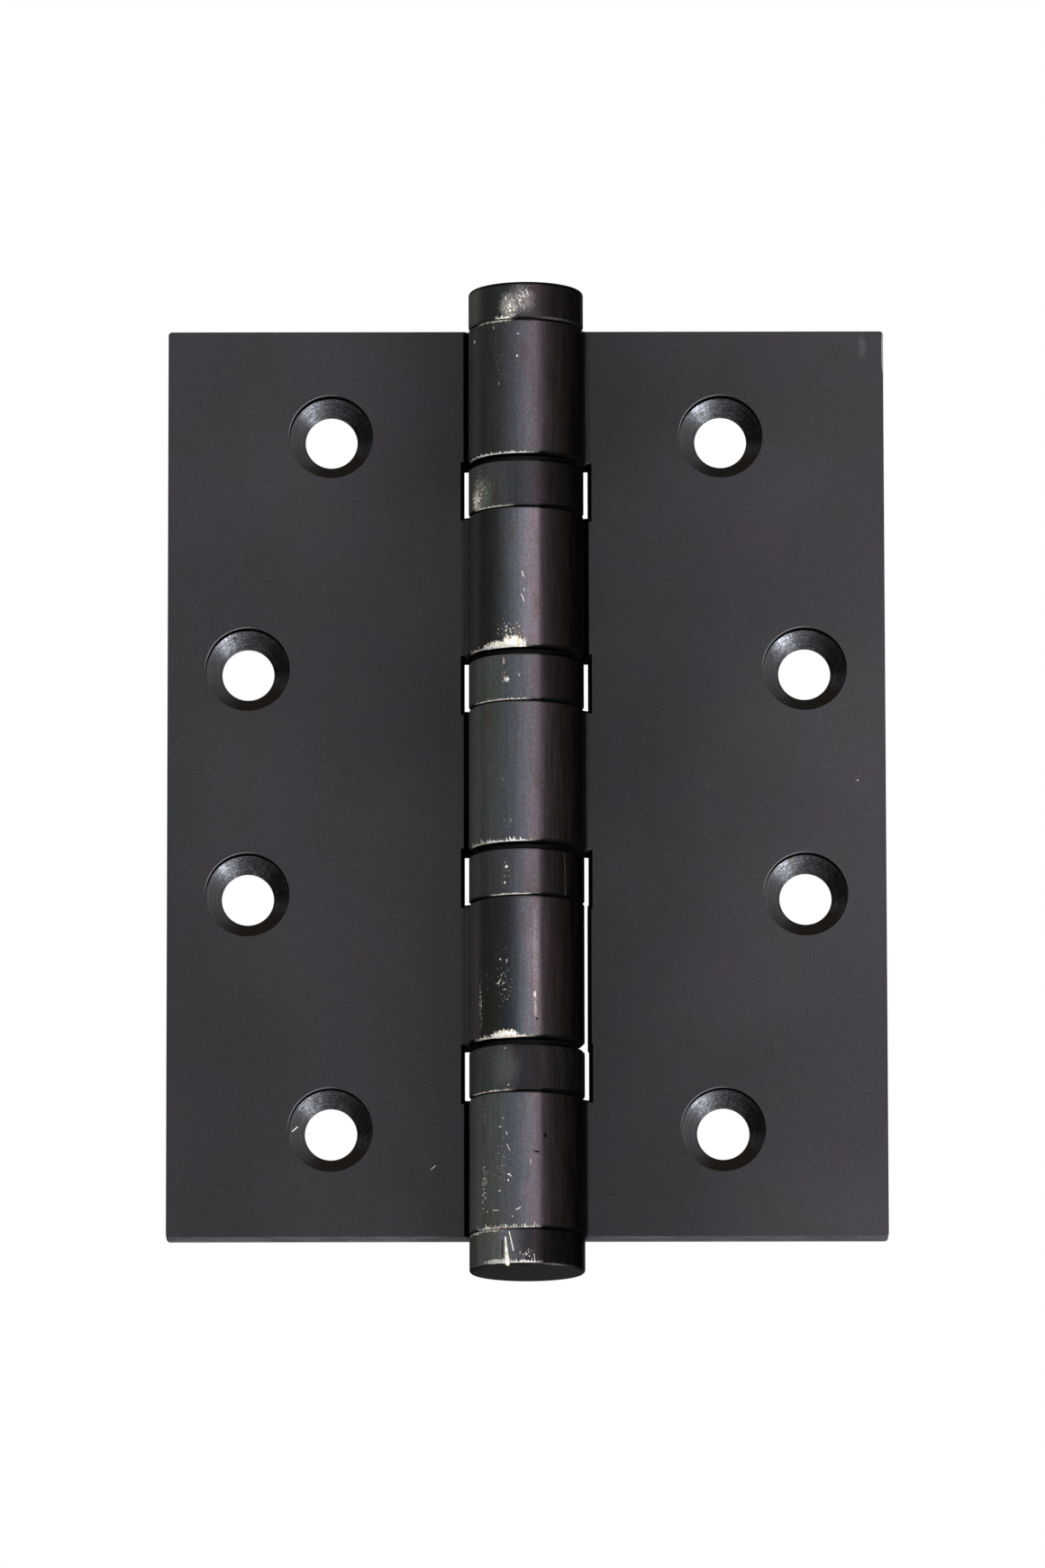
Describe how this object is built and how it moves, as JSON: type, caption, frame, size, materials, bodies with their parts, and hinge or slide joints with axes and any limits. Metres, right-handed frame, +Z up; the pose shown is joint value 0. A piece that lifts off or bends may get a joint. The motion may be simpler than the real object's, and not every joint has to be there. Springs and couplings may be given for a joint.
{
  "type": "ball bearing butt hinge",
  "caption": "Door butt hinge with flat countersunk leaves and a round barrel, its knuckles parted by thrust ball bearings on one pin with flat button tips.",
  "frame": {"origin": "on the pin axis at mid height of the barrel, the centre of the bounding box with the leaves opened flat", "axes": "+Z up along the pin; +X towards the frame leaf's outer edge; -Y out of the countersunk faces, the side the leaves close to"},
  "size_m": [0.0992, 0.0158, 0.1374],
  "materials": {
    "leaf": "dark oxidised, brushed matte",
    "barrel": "dark oxidised, satin, worn at the edges",
    "pin": "ground",
    "race": "hardened and oil-blackened",
    "cage": "stamped",
    "ball": "polished"
  },
  "bodies": {
    "frame_side": {"frame_leaf": "leaf", "hinge_pin": "pin", "top_tip": "barrel", "bottom_tip": "barrel", "bearing_1_upper_race": "race", "bearing_2_shell": "barrel", "bearing_2_lower_race": "race", "bearing_3_upper_race": "race", "bearing_4_shell": "barrel", "bearing_4_lower_race": "race"},
    "door_side": {"door_leaf": "leaf", "bearing_1_shell": "barrel", "bearing_1_lower_race": "race", "bearing_2_upper_race": "race", "bearing_3_shell": "barrel", "bearing_3_lower_race": "race", "bearing_4_upper_race": "race"},
    "cage_1": {"bearing_1_cage": "cage", "bearing_1_balls": "ball"},
    "cage_2": {"bearing_2_cage": "cage", "bearing_2_balls": "ball"},
    "cage_3": {"bearing_3_cage": "cage", "bearing_3_balls": "ball"},
    "cage_4": {"bearing_4_cage": "cage", "bearing_4_balls": "ball"}
  },
  "joints": [
    {"name": "leaf_swing", "type": "hinge", "parent": "frame_side", "child": "door_side", "pos_m": [0, 0, 0], "axis": [0, 0, 1], "range_deg": [-90, 180]},
    {"name": "cage_1_turn", "type": "hinge", "parent": "frame_side", "child": "cage_1", "pos_m": [0, 0, 0.04105], "axis": [0, 0, 1], "range_deg": [-46, 91]},
    {"name": "cage_2_turn", "type": "hinge", "parent": "frame_side", "child": "cage_2", "pos_m": [0, 0, 0.01385], "axis": [0, 0, 1], "range_deg": [-46, 91]},
    {"name": "cage_3_turn", "type": "hinge", "parent": "frame_side", "child": "cage_3", "pos_m": [0, 0, -0.01335], "axis": [0, 0, 1], "range_deg": [-46, 91]},
    {"name": "cage_4_turn", "type": "hinge", "parent": "frame_side", "child": "cage_4", "pos_m": [0, 0, -0.04055], "axis": [0, 0, 1], "range_deg": [-46, 91]}
  ],
  "couplings": [
    {"joint": "cage_1_turn", "follows": "leaf_swing", "ratio": 0.5},
    {"joint": "cage_2_turn", "follows": "leaf_swing", "ratio": 0.5},
    {"joint": "cage_3_turn", "follows": "leaf_swing", "ratio": 0.5},
    {"joint": "cage_4_turn", "follows": "leaf_swing", "ratio": 0.5}
  ]
}
